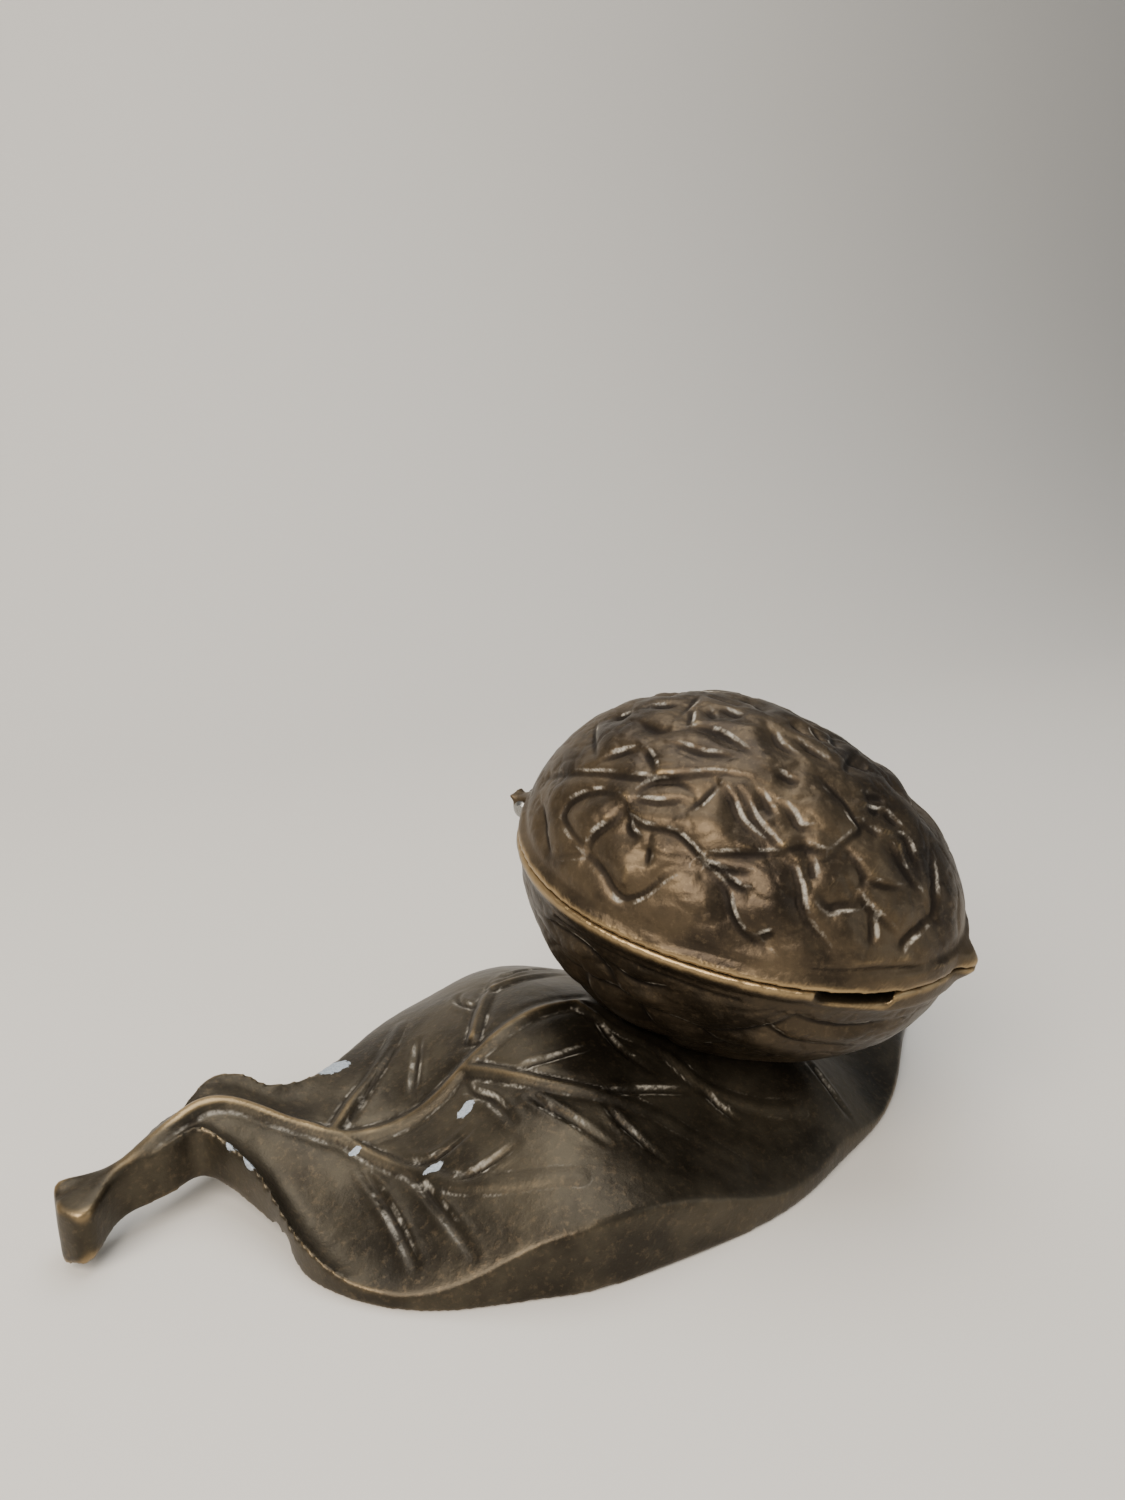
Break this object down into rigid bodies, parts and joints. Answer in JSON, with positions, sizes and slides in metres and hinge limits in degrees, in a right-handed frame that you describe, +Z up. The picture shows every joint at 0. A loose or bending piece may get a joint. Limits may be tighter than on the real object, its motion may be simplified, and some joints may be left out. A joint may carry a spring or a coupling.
{
  "type": "tabletop nutcracker",
  "caption": "Tabletop nutcracker: a hinged hollow walnut with toothed jaws inside, standing on a veined leaf casting.",
  "frame": {"origin": "bottom centre of the whole object, on the table's surface", "axes": "+X along the leaf from stem to tip, +Y towards the back of the leaf and the walnut's hinge side, +Z up"},
  "size_m": [0.2677, 0.1339, 0.1207],
  "materials": {
    "leaf_bronze": "dark bronze patina, rubbed",
    "shell_bronze": "dark bronze patina, rubbed",
    "jaw_metal": "as cast, unpolished",
    "fixing_steel": "zinc plated",
    "bush_brass": "turned"
  },
  "bodies": {
    "base": {"leaf_base": "leaf_bronze", "lower_shell": "shell_bronze", "hinge_bush": "bush_brass", "hinge_washer_left": "fixing_steel", "hinge_washer_right": "fixing_steel", "lower_jaw": "jaw_metal", "lower_jaw_screw_left": "fixing_steel", "lower_jaw_screw_right": "fixing_steel", "shell_bolt_front": "fixing_steel", "shell_bolt_rear": "fixing_steel", "shell_washer_front": "fixing_steel", "shell_washer_rear": "fixing_steel", "spring_washer_front": "fixing_steel", "spring_washer_rear": "fixing_steel"},
    "lid": {"upper_shell": "shell_bronze", "hinge_pin": "fixing_steel", "pin_retaining_clip": "fixing_steel", "upper_jaw": "jaw_metal", "upper_jaw_screw_left": "fixing_steel", "upper_jaw_screw_right": "fixing_steel"}
  },
  "joints": [
    {"name": "lid_hinge", "type": "hinge", "parent": "base", "child": "lid", "pos_m": [0.01345, 0.04417, 0.08433], "axis": [-0.8626, -0.4974, -0.0924], "range_deg": [0, 95]}
  ]
}
